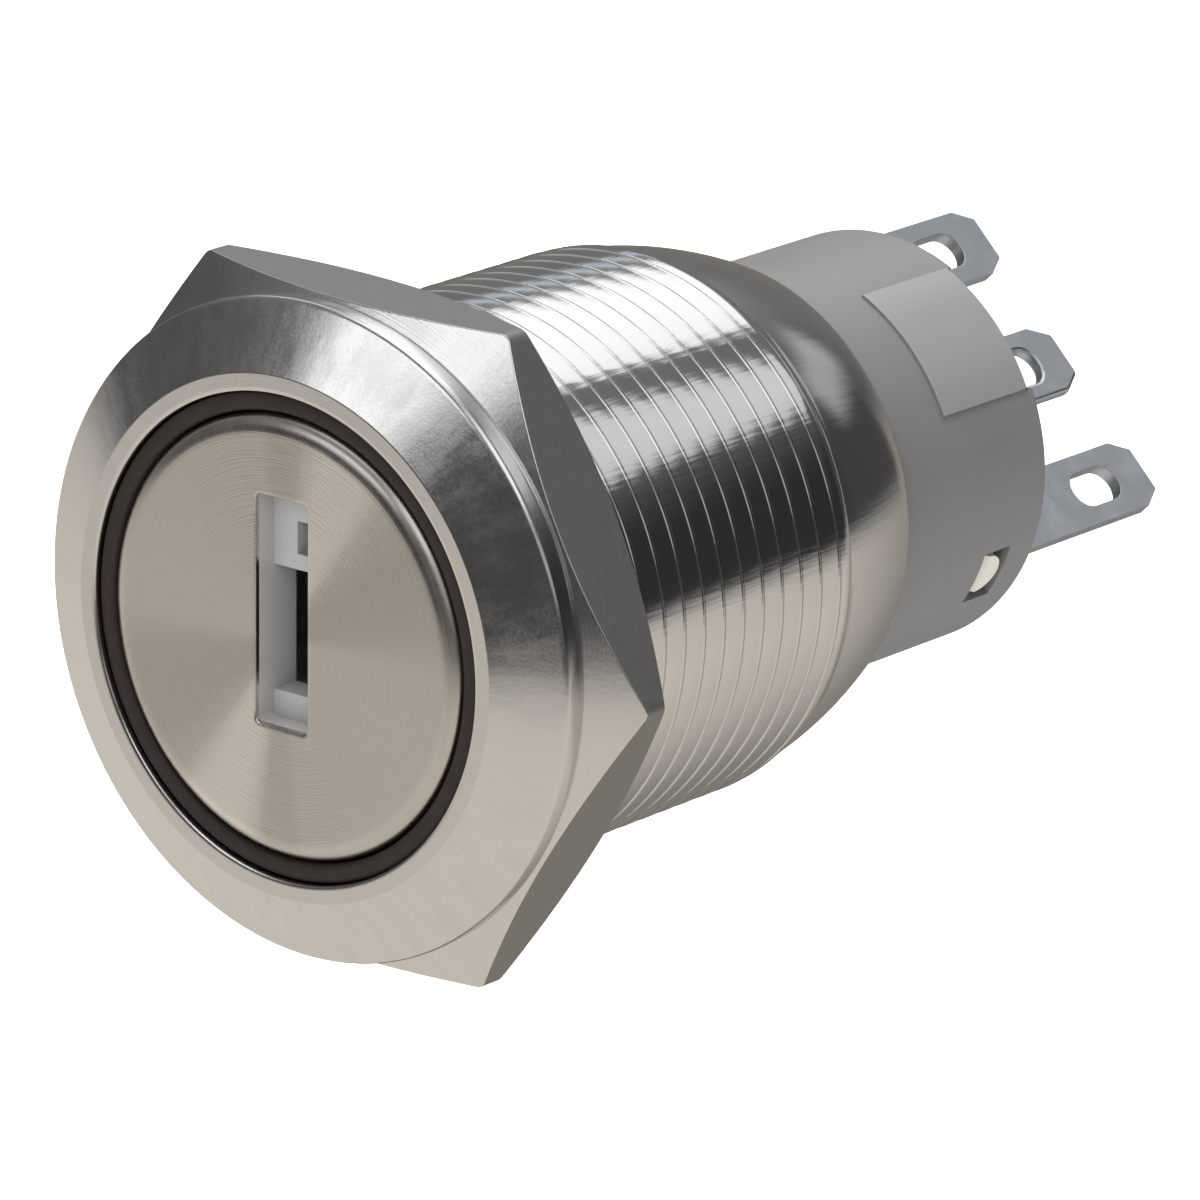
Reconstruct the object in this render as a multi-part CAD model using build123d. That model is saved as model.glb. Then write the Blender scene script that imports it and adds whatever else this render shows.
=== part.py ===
from build123d import *
import math
import os

# Key switch with a 19 mm threaded barrel, for a round hole in a panel.
# X is to the right of the face, Z is up along the keyway, Y runs along the axis towards the lugs.
# The origin is on the axis, in the plane under the head where the panel seats. Millimetres.

# Head and barrel
head_r = 11.0
head_t = 2.0
rim_t = 0.88
ring_w = 0.62
edge_break = 0.12
head_overhang = 1.56
thread_pitch = 1.0
thread_depth = 0.16
thread_root_w = 0.02
thread_groove_w = 0.2
front_wall = 1.33
rear_wall = 2.14
thread_runout = 0.14
tail_len = 4.8
tail_mid_back = 1.55
tail_bulge = 0.446
tail_end_wall = 0.7
lip_t = 1.0
lip_step = 0.35
housing_seat_len = 6.42

# Panel nut and gasket
nut_t = 3.0
nut_bevel_deg = 30.0
nut_flat_edge = 0.8
nut_turn_deg = -2.2
nut_clear = 0.05
gasket_gap = 0.31
gasket_w = 0.9
gasket_t = 0.6
gasket_clear = 0.04

# Face: dark ring, cap and keyway
trim_w = 0.73
trim_recess = 0.16
trim_clear = 0.02
disc_gap = 0.07
disc_edge_r = 0.5
disc_sheet = 0.2
disc_skirt = 1.7
slot_w = 2.22
slot_h = 7.68
slot_z = 0.86
slot_corner_r = 0.22
guide_funnel = 0.71
guide_t = 1.78
guide_clear = 0.04
key_low_z = -2.08
key_high_z = 2.13
ward_w = 0.14
ward_steps = 2
ward_top_z = -0.6
ward_drop = 0.66
pocket_x = -0.11
pocket_low_z = 2.65
pocket_h = 1.1
pocket_d = 0.5
peg_r = 0.6
peg_len = 1.5
peg_edge = 2.94
peg_clear = 0.04

# Lock: rotor, wafers and sleeve
plug_flange_t = 0.4
plug_clear = 0.05
plug_end_clear = 0.08
shell_fit = 0.03
shell_wall = 2.43
shell_gap = 0.1
wafer_count = 5
wafer_lead = 2.12
wafer_pitch = 1.9
wafer_tail = 3.28
wafer_t = 0.9
wafer_w = 4.4
wafer_clear = 0.04
wafer_shy = 0.08
wafer_travel = 0.45
window_side = 0.24
window_over = 0.15
wafer_cuts = [0.0, 0.35, -0.3, 0.15, -0.45]
keyway_past = 1.88
ear_len = 1.25
ear_low_z = 1.0
ear_t = 0.75
lock_groove_clear = 0.12
lock_groove_wall = 1.73
wafer_coil_r = 0.36
wafer_wire_r = 0.07
wafer_coil_turns = 6
wafer_coil_len = 3.6
wafer_pocket_r = 0.52
clip_t = 0.55
clip_bite = 0.7
clip_rim = 0.45
clip_back = 0.5
clip_gap_deg = 60.0
clip_clear = 0.03
dowel_r = 0.5
dowel_len = 1.9
dowel_in = 0.55
dowel_clear = 0.02

# Cam, its screw and the index springs
cam_clear = 0.72
cam_flat_cut = 0.7
cam_flat_t = 1.0
cam_mid_t = 2.3
tail_square = 3.0
tail_square_len = 1.4
tail_clear = 0.03
cam_screw_head_r = 2.4
cam_screw_head_t = 0.9
cam_screw_r = 0.8
cam_screw_len = 3.6
cam_screw_slot_w = 0.5
cam_screw_slot_d = 0.4
screw_clear = 0.05
index_t = 0.25
index_w = 0.8
index_gap = 0.03
index_set_back = 0.1
index_seat = 0.2
index_seat_clear = 0.05

# Plunger and change-over contacts
key_turn_deg = 90.0
plunge = 1.2
follow_deg = 225.0
follow_in = 1.6
follow_tip_r = 0.55
follow_gap = 0.05
flange_clear = 0.47
flange_t = 0.8
flange_gap = 1.5
rib_w = 1.0
rib_h = 0.7
rib_clear = 0.1
collar_w = 0.9
stem_r = 1.1
stem_clear = 0.05
stem_run = 1.6
arm_gap = 0.2
strip_t = 0.5
blade_t = 0.4
blade_w = 2.0
blade_clear = 0.03
rivet_r = 0.85
rivet_head = 0.4
rivet_shank_r = 0.45
contact_gap = 0.02
contact_side = 0.65
wiper_in = 2.82
wiper_len = 1.3
wiper_gap = 0.03
arm_half_w = 0.95
spring_gap = 0.29
spring_wire_r = 0.16
spring_turns = 4

# Solder lugs
row_deg = 45.0
lug_edge = 1.72
lug_w = 2.68
lug_front = 1.9
lug_out = 8.96
lug_shoulder_gap = 0.25
lug_cut_y = 0.86
lug_cut_w = 0.5
lug_hole_len = 2.45
lug_hole_w = 1.36
lug_hole_end = 1.55
shank_w = 1.8
shank_clear = 0.03

# Rear housing, carrier and seal
housing_fit = 0.03
housing_wall = 0.55
pad_deg = 45.0
pad_span_deg = 40.0
pad_raise = 0.1
pad_ramp = 0.37
pad_len = 5.0
ledge_t = 0.5
ledge_h = 0.35
base_clear = 0.04
base_t = 2.31
boss_rim = 0.59
boss_t = 0.8
nub_deg = -26.0
nub_len = 1.25
nub_w = 1.56
nub_shy = 0.1
nub_ramp = 0.35
window_clear = 0.09
window_side_clear = 0.28
window_back = 1.48
seal_t = 0.45
seal_recess = 0.15

# Radii worked out from the sizes above
thread_r = head_r - head_overhang
nut_across = 2 * head_r
gasket_in_r = thread_r + gasket_gap
gasket_out_r = gasket_in_r + gasket_w
front_bore_r = thread_r - front_wall
ring_r = front_bore_r + ring_w
rear_bore_r = thread_r - rear_wall
lip_r = rear_bore_r - lip_step
tail_start_r = thread_r - thread_runout
tail_end_r = rear_bore_r + tail_end_wall
tail_mid_r = tail_end_r + tail_bulge * (tail_start_r - tail_end_r)
disc_r = front_bore_r - trim_w
trim_out_r = front_bore_r - trim_clear
trim_in_r = disc_r + disc_gap
guide_r = disc_r - disc_sheet - guide_clear
peg_x = guide_r - peg_edge
plug_flange_r = disc_r - disc_sheet
shell_r = front_bore_r - shell_fit
shell_in_r = shell_r - shell_wall
plug_r = shell_in_r - plug_clear
lock_groove_r = shell_r - lock_groove_wall
clip_groove_r = plug_r - clip_bite
clip_out_r = lip_r - clip_rim
dowel_at_r = lip_r + dowel_in
ear_out_x = wafer_w / 2 + ear_len
coil_x = wafer_w / 2 + wafer_pocket_r + wafer_clear
coil_low_z = ear_low_z - wafer_coil_len
housing_r = rear_bore_r - housing_fit
housing_in_r = housing_r - housing_wall
base_r = housing_in_r - base_clear
cam_r = housing_in_r - cam_clear
cam_flat = cam_r - cam_flat_cut
index_x = cam_flat + index_gap
index_half = math.sqrt((housing_in_r + index_seat) ** 2 - (index_x + index_t) ** 2)
flange_r = housing_in_r - flange_clear
follow_r = cam_r - follow_in
collar_r = stem_r + collar_w
spring_r = stem_r + spring_gap + spring_wire_r
boss_r = spring_r + spring_wire_r + boss_rim
contact_at = collar_r + rivet_r + contact_side
wiper_at = housing_in_r - wiper_in
lug_pitch = housing_in_r - lug_edge
lug_back = lug_front - strip_t

# Places along the axis, from the face to the lugs
front_y = -head_t
seat_y = 0.0
skirt_y = front_y + disc_skirt
guide_front_y = front_y + disc_sheet
guide_back_y = guide_front_y + guide_t
funnel_y = guide_front_y + guide_funnel
plug_body_y = guide_back_y + plug_flange_t
shell_front_y = plug_body_y + shell_gap
wafer_first_y = guide_back_y + wafer_lead
wafer_last_y = wafer_first_y + (wafer_count - 1) * wafer_pitch
shell_end_y = wafer_last_y + wafer_tail
lip_end_y = shell_end_y + lip_t
barrel_end_y = lip_end_y + housing_seat_len
thread_end_y = barrel_end_y - tail_len
tail_mid_y = barrel_end_y - tail_mid_back
clip_y = shell_end_y + plug_end_clear
plug_end_y = clip_y + clip_t + clip_back
cam_mid_y = plug_end_y + cam_mid_t
cam_slope = 0.5 * plunge / (follow_r * math.sin(math.radians(key_turn_deg / 2)))
cam_high_deg = follow_deg + 90.0 + key_turn_deg / 2
flange_y = cam_mid_y + cam_slope * cam_r + flange_gap - 0.5 * plunge
flange_back_y = flange_y + flange_t
nc_arm_y = flange_back_y + plunge + arm_gap
blade_y = nc_arm_y + strip_t + rivet_head + contact_gap + rivet_head
blade_back_y = blade_y + blade_t
no_arm_y = blade_back_y + rivet_head + contact_gap + plunge + contact_gap + rivet_head
boss_y = no_arm_y + strip_t + arm_gap
base_y = boss_y + boss_t
base_end_y = base_y + base_t
housing_end_y = base_end_y + seal_t + seal_recess
pad_start_y = housing_end_y - pad_len
lug_tip_y = housing_end_y + lug_out


def tube(r_out, r_in, y0, y1):
    """A plain ring round the Y axis from y0 to y1."""
    with BuildSketch(Plane.XY) as face:
        with Locations(((r_out + r_in) / 2, (y0 + y1) / 2)):
            Rectangle(r_out - r_in, y1 - y0)
    return revolve(face.sketch, axis=Axis.Y)


def rod(r, y0, y1, x=0.0, z=0.0):
    """A plain cylinder along Y from y0 to y1."""
    body = Cylinder(r, y1 - y0, align=(Align.CENTER, Align.CENTER, Align.MIN))
    return Pos(x, y0, z) * Rot(-90, 0, 0) * body


def block(x0, x1, y0, y1, z0, z1):
    """A box between two corners."""
    body = Box(x1 - x0, y1 - y0, z1 - z0)
    return Pos((x0 + x1) / 2, (y0 + y1) / 2, (z0 + z1) / 2) * body


def turned(points):
    """A closed outline of (radius, y) points turned round the Y axis."""
    return revolve(make_face(Polyline(*points, close=True)), axis=Axis.Y)


def about_axis(part, deg):
    """Turn a part round the axis, from X towards Z."""
    return Rot(0, -deg, 0) * part


def coil(r, wire_r, length, turns):
    """A round-wire compression spring standing on the origin along Z."""
    pitch = (length - 2 * wire_r) / turns
    path = Pos(0, 0, wire_r) * Helix(pitch=pitch, height=length - 2 * wire_r, radius=r)
    start = Plane(path @ 0, z_dir=path % 0)
    return sweep(start * Circle(wire_r), path=path, is_frenet=True)


def sector(r, y0, y1, mid_deg, span_deg):
    """A wedge from the axis out to r, centred on mid_deg, used to cut or keep part of a ring."""
    half = math.radians(span_deg / 2)
    far = r / math.cos(half)
    wedge = make_face(Polyline(
        (0, 0),
        (far * math.cos(half), -far * math.sin(half)),
        (far * math.cos(half), far * math.sin(half)),
        close=True,
    ))
    body = extrude(wedge, amount=y1 - y0)
    return about_axis(Pos(0, y0, 0) * Rot(-90, 0, 0) * body, mid_deg)


# Head and threaded barrel: one turned piece of stainless steel. Each thread turn is a plain ring.
def make_bezel_barrel():
    tail = ThreePointArc((tail_start_r, thread_end_y), (tail_mid_r, tail_mid_y), (tail_end_r, barrel_end_y))
    outline = [
        (front_bore_r, front_y),
        (ring_r, front_y),
        (head_r, front_y + head_t - rim_t),
        (head_r, seat_y - edge_break),
        (head_r - edge_break, seat_y),
        (thread_r, seat_y),
    ]
    for n in range(math.floor(thread_end_y / thread_pitch)):
        groove_y = (n + 0.5) * thread_pitch
        outline += [
            (thread_r, groove_y - thread_groove_w / 2),
            (thread_r - thread_depth, groove_y - thread_root_w / 2),
            (thread_r - thread_depth, groove_y + thread_root_w / 2),
            (thread_r, groove_y + thread_groove_w / 2),
        ]
    outline += [
        (thread_r, thread_end_y - (thread_r - tail_start_r)),
        (tail_start_r, thread_end_y),
    ]
    inside = [
        (tail_end_r, barrel_end_y),
        (rear_bore_r, barrel_end_y),
        (rear_bore_r, lip_end_y),
        (lip_r, lip_end_y),
        (lip_r, shell_end_y),
        (front_bore_r, shell_end_y),
        (front_bore_r, front_y),
    ]
    edge = Polyline(*outline) + tail + Polyline(*inside)
    body = revolve(make_face(edge), axis=Axis.Y)
    groove_out_r = gasket_out_r + gasket_clear
    groove = tube(groove_out_r, gasket_in_r - gasket_clear, seat_y - gasket_t, seat_y + gasket_t)
    dowel_hole = rod(dowel_r + dowel_clear, shell_end_y, lip_end_y + lip_t, x=dowel_at_r)
    return body - groove - about_axis(dowel_hole, 90)


# Hexagon nut, turned to a cone on both faces
def make_hex_nut():
    corner_r = nut_across / 2 / math.cos(math.pi / 6)
    bevel = (nut_t - nut_flat_edge) / 2
    face_r = corner_r - bevel / math.tan(math.radians(nut_bevel_deg))
    blank = extrude(RegularPolygon(corner_r, 6), amount=nut_t)
    blank = about_axis(Rot(-90, 0, 0) * blank, nut_turn_deg)
    cones = turned([
        (thread_r + nut_clear, seat_y),
        (face_r, seat_y),
        (corner_r, seat_y + bevel),
        (corner_r, seat_y + nut_t - bevel),
        (face_r, seat_y + nut_t),
        (thread_r + nut_clear, seat_y + nut_t),
    ])
    return blank & cones


# Rubber ring in the groove under the head
def make_panel_gasket():
    return tube(gasket_out_r, gasket_in_r, seat_y - gasket_t, seat_y)


# Dark moulded ring between the bore and the cap
def make_trim_ring():
    return tube(trim_out_r, trim_in_r, front_y + trim_recess, shell_front_y)


def keyway_cut(width, z0, z1, y0, y1, corner=0.0):
    """A keyway-shaped cutter along Y."""
    shape = Rectangle(width, z1 - z0)
    if corner > 0:
        shape = fillet(shape.vertices(), corner)
    body = extrude(shape, amount=y1 - y0)
    return Pos(0, y0, (z0 + z1) / 2) * Rot(-90, 0, 0) * body


# Drawn stainless cap over the front of the rotor
def make_face_disc():
    cup = tube(disc_r, 0, front_y, skirt_y)
    rim = cup.edges().filter_by(GeomType.CIRCLE).sort_by(Axis.Y)[0]
    cup = fillet(rim, disc_edge_r)
    cup -= tube(disc_r - disc_sheet, 0, guide_front_y, skirt_y + disc_sheet)
    slot_low = slot_z - slot_h / 2
    slot_high = slot_z + slot_h / 2
    cut_y0 = front_y - disc_sheet
    cut_y1 = guide_front_y + disc_sheet
    return cup - keyway_cut(slot_w, slot_low, slot_high, cut_y0, cut_y1, slot_corner_r)


# Light grey moulded guide, seen through the keyway
def make_key_guide():
    body = tube(guide_r, 0, guide_front_y, guide_back_y)
    slot_low = slot_z - slot_h / 2
    slot_high = slot_z + slot_h / 2
    body -= keyway_cut(slot_w, slot_low, slot_high, guide_front_y - guide_funnel, funnel_y, slot_corner_r)
    body -= keyway_cut(slot_w, key_low_z, key_high_z, guide_front_y, guide_back_y + guide_t)
    body -= block(
        pocket_x, slot_w / 2, guide_front_y, funnel_y + pocket_d, pocket_low_z, pocket_low_z + pocket_h,
    )
    for step in range(ward_steps):
        top_z = ward_top_z - step * ward_drop
        x0 = slot_w / 2 - (step + 1) * ward_w
        body += block(x0, slot_w / 2, funnel_y, guide_back_y, key_low_z, top_z)
    for side in (-1, 1):
        body += rod(peg_r, guide_back_y, guide_back_y + peg_len, x=side * peg_x)
    return body


# Die-cast rotor that carries the wafers, with a square tail for the cam
def make_lock_plug():
    body = turned([
        (0, guide_back_y),
        (plug_flange_r, guide_back_y),
        (plug_flange_r, plug_body_y),
        (plug_r, plug_body_y),
        (plug_r, clip_y),
        (clip_groove_r, clip_y),
        (clip_groove_r, clip_y + clip_t + clip_clear),
        (plug_r, clip_y + clip_t + clip_clear),
        (plug_r, plug_end_y),
        (0, plug_end_y),
    ])
    half = tail_square / 2
    body += block(-half, half, plug_end_y, plug_end_y + tail_square_len, -half, half)
    keyway_end = wafer_last_y + keyway_past
    body -= keyway_cut(slot_w, key_low_z, key_high_z, guide_back_y - guide_t, keyway_end)
    for side in (-1, 1):
        hole = rod(peg_r + peg_clear, guide_back_y, guide_back_y + peg_len + peg_clear, x=side * peg_x)
        body -= hole
    body -= rod(cam_screw_r + screw_clear, plug_end_y + tail_square_len - cam_screw_len - screw_clear,
                plug_end_y + tail_square_len)
    for n in range(wafer_count):
        y = wafer_first_y + n * wafer_pitch
        y0 = y - wafer_t / 2 - wafer_clear
        y1 = y + wafer_t / 2 + wafer_clear
        half_w = wafer_w / 2 + wafer_clear
        body -= block(-half_w, half_w, y0, y1, -plug_r, plug_r)
        ear_top = ear_low_z + ear_t + wafer_travel + wafer_clear
        body -= block(0, ear_out_x + wafer_clear, y0, y1, ear_low_z - wafer_clear, ear_top)
        body -= Pos(coil_x, y, coil_low_z) * Cylinder(
            wafer_pocket_r, ear_low_z - coil_low_z, align=(Align.CENTER, Align.CENTER, Align.MIN)
        )
    return body


# Brass wafer, window cut at its own height
def make_wafer(n):
    y = wafer_first_y + n * wafer_pitch
    y0 = y - wafer_t / 2
    y1 = y + wafer_t / 2
    body = block(-wafer_w / 2, wafer_w / 2, y0, y1, -plug_r, plug_r)
    body &= rod(plug_r - wafer_shy, y0, y1)
    body += block(0, ear_out_x, y0, y1, ear_low_z, ear_low_z + ear_t)
    low = key_low_z - window_over + wafer_cuts[n] / 2
    high = key_high_z + window_over + wafer_cuts[n] / 2
    half_w = slot_w / 2 + window_side
    window = block(-half_w, half_w, y0 - wafer_t, y1 + wafer_t, low, high)
    return body - window


# Spring under each wafer's ear
def make_wafer_spring(n):
    y = wafer_first_y + n * wafer_pitch
    return Pos(coil_x, y, coil_low_z) * coil(wafer_coil_r, wafer_wire_r, wafer_coil_len, wafer_coil_turns)


# Die-cast sleeve fixed in the barrel, with locking grooves at every quarter turn
def make_lock_shell():
    body = tube(shell_r, shell_in_r, shell_front_y, shell_end_y)
    groove_y0 = wafer_first_y - wafer_pitch / 2
    groove_y1 = wafer_first_y + (wafer_count - 0.5) * wafer_pitch
    half_w = wafer_w / 2 + lock_groove_clear
    for quarter in range(4):
        groove = block(0, lock_groove_r, groove_y0, groove_y1, -half_w, half_w)
        body -= about_axis(groove, 90 * quarter)
    dowel_hole = rod(dowel_r + dowel_clear, shell_end_y + lip_t - dowel_len, lip_end_y, x=dowel_at_r)
    return body - about_axis(dowel_hole, 90)


# Dowel between the sleeve and the barrel's lip
def make_shell_pin():
    return about_axis(rod(dowel_r, lip_end_y - dowel_len, lip_end_y, x=dowel_at_r), 90)


# Open retaining clip in the rotor's groove
def make_plug_clip():
    ring = tube(clip_out_r, clip_groove_r + clip_clear, clip_y, clip_y + clip_t)
    return ring - sector(clip_out_r, clip_y, clip_y + clip_t, 0, clip_gap_deg)


# Moulded cam: squared at the front for the index springs, slanted at the rear
def make_drive_cam():
    top_y = cam_mid_y + cam_slope * cam_r
    body = rod(cam_r, plug_end_y, top_y + cam_r)
    flat_end_y = plug_end_y + cam_flat_t
    square = block(-cam_flat, cam_flat, plug_end_y, flat_end_y, -cam_flat, cam_flat)
    body -= tube(2 * cam_r, 0, plug_end_y, flat_end_y) - square
    tilt = math.degrees(math.atan(cam_slope))
    cutter = Box(6 * cam_r, 6 * cam_r, 6 * cam_r, align=(Align.CENTER, Align.MIN, Align.CENTER))
    cutter = about_axis(Pos(0, cam_mid_y, 0) * Rot(0, 0, tilt) * cutter, cam_high_deg)
    body -= cutter
    half = tail_square / 2 + tail_clear
    body -= block(-half, half, plug_end_y, plug_end_y + tail_square_len, -half, half)
    return body - rod(cam_screw_head_r + screw_clear, plug_end_y + tail_square_len, top_y + cam_r)


# Screw that holds the cam
def make_cam_screw():
    head_y = plug_end_y + tail_square_len
    body = rod(cam_screw_r, head_y - cam_screw_len, head_y)
    body += rod(cam_screw_head_r, head_y, head_y + cam_screw_head_t)
    half = cam_screw_slot_w / 2
    return body - block(-cam_screw_head_r, cam_screw_head_r, head_y + cam_screw_head_t - cam_screw_slot_d,
                        head_y + cam_screw_head_t, -half, half)


# Leaf springs that hold the cam at each quarter turn
def make_index_spring(side):
    y0 = plug_end_y + index_set_back
    leaf = block(index_x, index_x + index_t, y0, y0 + index_w, -index_half, index_half)
    return about_axis(leaf, 90 - 90 * side)


# Plunger with one nose on the cam's slanted face
def make_plunger():
    nose_gap = (follow_tip_r + follow_gap) / math.cos(math.atan(cam_slope))
    nose_y = cam_mid_y - 0.5 * plunge + nose_gap
    body = rod(flange_r, flange_y, flange_back_y)
    body += rod(collar_r, flange_back_y, blade_y)
    body += rod(stem_r, blade_y, boss_y + stem_run)
    nose = rod(follow_tip_r, nose_y, flange_y, x=follow_r) + Pos(follow_r, nose_y, 0) * Sphere(follow_tip_r)
    body += about_axis(nose, follow_deg)
    notch_w = rib_w / 2 + rib_clear
    for side in (-1, 1):
        notch_in = housing_in_r - rib_h - rib_clear
        notch = block(notch_in, housing_in_r + rib_h, flange_y, flange_back_y, -notch_w, notch_w)
        body -= about_axis(notch, row_deg + 90 * side)
    return body


def on_row(part):
    """Turn a part drawn with the lugs' faces towards X into its place."""
    return about_axis(part, row_deg)


# Spring between the blade and the carrier
def make_return_spring():
    body = coil(spring_r, spring_wire_r, boss_y - blade_back_y, spring_turns)
    return Pos(0, blade_back_y, 0) * Rot(-90, 0, 0) * body


# Change-over blade: contact end, hole for the stem, wiper end
def make_moving_contact():
    half = blade_w / 2
    x_wipe = wiper_at - wiper_gap
    blade = block(-contact_at - half, x_wipe, blade_y, blade_back_y, -half, half)
    blade += rod(collar_r, blade_y, blade_back_y)
    blade += block(x_wipe - blade_t, x_wipe, blade_y, blade_y + wiper_len, -half, half)
    blade -= rod(stem_r + blade_clear, blade_y, blade_back_y)
    blade -= rod(rivet_shank_r, blade_y, blade_back_y, x=-contact_at)
    return on_row(blade)


# Silver rivets
def make_moving_rivet():
    body = rod(rivet_r, blade_y - rivet_head, blade_y, x=-contact_at)
    body += rod(rivet_shank_r, blade_y, blade_back_y, x=-contact_at)
    body += rod(rivet_r, blade_back_y, blade_back_y + rivet_head, x=-contact_at)
    return on_row(body)


def make_rivet_nc():
    face_y = nc_arm_y + strip_t
    body = rod(rivet_r, face_y, face_y + rivet_head, x=-contact_at)
    return on_row(body + rod(rivet_shank_r, nc_arm_y, face_y, x=-contact_at))


def make_rivet_no():
    body = rod(rivet_r, no_arm_y - rivet_head, no_arm_y, x=-contact_at)
    return on_row(body + rod(rivet_shank_r, no_arm_y, no_arm_y + strip_t, x=-contact_at))


def lug_blank(w, inner_y):
    """One solder lug: wide tab with cut corners and a long hole, narrow shank forward to inner_y."""
    shoulder_y = housing_end_y + lug_shoulder_gap
    half = lug_w / 2
    tab = make_face(Polyline(
        (-half, shoulder_y),
        (half, shoulder_y),
        (half, lug_tip_y - lug_cut_y),
        (half - lug_cut_w, lug_tip_y),
        (-half + lug_cut_w, lug_tip_y),
        (-half, lug_tip_y - lug_cut_y),
        close=True,
    ))
    hole_y = lug_tip_y - lug_hole_end - lug_hole_len / 2
    hole = Pos(0, hole_y) * Rot(0, 0, 90) * SlotOverall(lug_hole_len, lug_hole_w)
    body = extrude(tab - hole, amount=strip_t)
    body = Pos(lug_back, 0, w) * Rot(0, 90, 0) * body
    return body + block(lug_back, lug_front, inner_y, shoulder_y, w - shank_w / 2, w + shank_w / 2)


def side_terminal(w, arm_y):
    """Outer terminal: shank forward to arm_y, then a flat arm round to the contact."""
    body = lug_blank(w, arm_y)
    near = w + math.copysign(shank_w / 2, w)
    far = -math.copysign(arm_half_w, w)
    side = block(-contact_at - arm_half_w, lug_front, arm_y, arm_y + strip_t,
                 min(w - shank_w / 2, near), max(w + shank_w / 2, near))
    across = block(-contact_at - arm_half_w, -contact_at + arm_half_w, arm_y, arm_y + strip_t,
                   min(near, far), max(near, far))
    arm = (side + across) & rod(housing_in_r - arm_gap, arm_y, arm_y + strip_t)
    body += arm
    return on_row(body - rod(rivet_shank_r, arm_y, arm_y + strip_t, x=-contact_at))


# Common terminal: shank, joggle outwards and a leg for the wiper
def make_terminal_common():
    joggle_y = boss_y + arm_gap
    body = lug_blank(0.0, joggle_y)
    half = shank_w / 2
    body += block(lug_back, wiper_at + strip_t, joggle_y, joggle_y + strip_t, -half, half)
    body += block(wiper_at, wiper_at + strip_t, blade_y - blade_t, joggle_y + strip_t, -half, half)
    return on_row(body)


# Grey moulded housing
def make_rear_housing():
    body = tube(housing_r, housing_in_r, lip_end_y, housing_end_y)
    body += tube(housing_r, housing_in_r - ledge_h, base_y - ledge_t, base_y)
    pad_r = housing_r + pad_raise
    pad = tube(pad_r, housing_in_r, pad_start_y, housing_end_y)
    body += pad & sector(2 * housing_r, pad_start_y, housing_end_y, pad_deg, pad_span_deg)
    ramp = turned([
        (pad_r - pad_ramp, housing_end_y),
        (pad_r, housing_end_y - pad_ramp),
        (pad_r + pad_raise, housing_end_y - pad_ramp),
        (pad_r + pad_raise, housing_end_y),
    ])
    body -= ramp & sector(2 * housing_r, housing_end_y - pad_ramp, housing_end_y, pad_deg, pad_span_deg)
    window_y0 = housing_end_y - window_back - nub_len - window_clear
    window_y1 = housing_end_y - window_back + window_clear
    wall = tube(housing_r + housing_wall, housing_in_r - housing_wall, window_y0, window_y1)
    for side in (0, 180):
        span = math.degrees((nub_w + 2 * window_side_clear) / housing_r)
        body -= wall & sector(2 * housing_r, window_y0, window_y1, nub_deg + side, span)
    seat_x = index_x + index_t + index_seat_clear
    seat_y1 = plug_end_y + index_set_back + index_w + index_seat_clear
    seat_half = index_half + index_seat_clear
    body -= block(-seat_x, seat_x, lip_end_y, seat_y1, -seat_half, seat_half)
    rib_y0 = flange_y - plunge
    for side in (-1, 1):
        rib = block(housing_in_r - rib_h, housing_in_r + housing_wall / 2, rib_y0, nc_arm_y - arm_gap,
                    -rib_w / 2, rib_w / 2)
        body += about_axis(rib, row_deg + 90 * side)
    return body


# Ivory carrier: base with slots for the shanks, a boss for the stem and two ramped snap nubs
def make_contact_base():
    body = rod(base_r, base_y, base_end_y) + rod(boss_r, boss_y, base_y)
    nub_y1 = housing_end_y - window_back
    nub_y0 = nub_y1 - nub_len
    nub_r = housing_r - nub_shy
    root_r = base_r - housing_wall
    ring = turned([
        (root_r, nub_y0),
        (nub_r - nub_ramp, nub_y0),
        (nub_r, nub_y1 - nub_w / 2),
        (nub_r, nub_y1),
        (root_r, nub_y1),
    ])
    round_end = Pos(0, nub_y1 - nub_w / 2, 0) * Rot(0, 90, 0) * Cylinder(
        nub_w / 2, housing_r, align=(Align.CENTER, Align.CENTER, Align.MIN)
    )
    straight = block(0, housing_r, nub_y0, nub_y1 - nub_w / 2, -nub_w / 2, nub_w / 2)
    for side in (0, 180):
        body += ring & about_axis(round_end + straight, nub_deg + side)
    cuts = []
    for w in (-lug_pitch, 0.0, lug_pitch):
        cuts.append(block(lug_back - shank_clear, lug_front + shank_clear, boss_y, base_end_y,
                          w - shank_w / 2 - shank_clear, w + shank_w / 2 + shank_clear))
    half = shank_w / 2 + shank_clear
    cuts.append(block(lug_back - shank_clear, boss_r, boss_y, base_y, -half, half))
    for cut in cuts:
        body -= on_row(cut)
    return body - rod(stem_r + stem_clear, boss_y, boss_y + stem_run + plunge + stem_clear)


# Potting over the carrier, round the shanks
def make_rear_seal():
    body = rod(base_r, base_end_y, base_end_y + seal_t)
    for w in (-lug_pitch, 0.0, lug_pitch):
        shank = block(lug_back, lug_front, base_end_y, base_end_y + seal_t, w - shank_w / 2, w + shank_w / 2)
        body -= on_row(shank)
    return body


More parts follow.
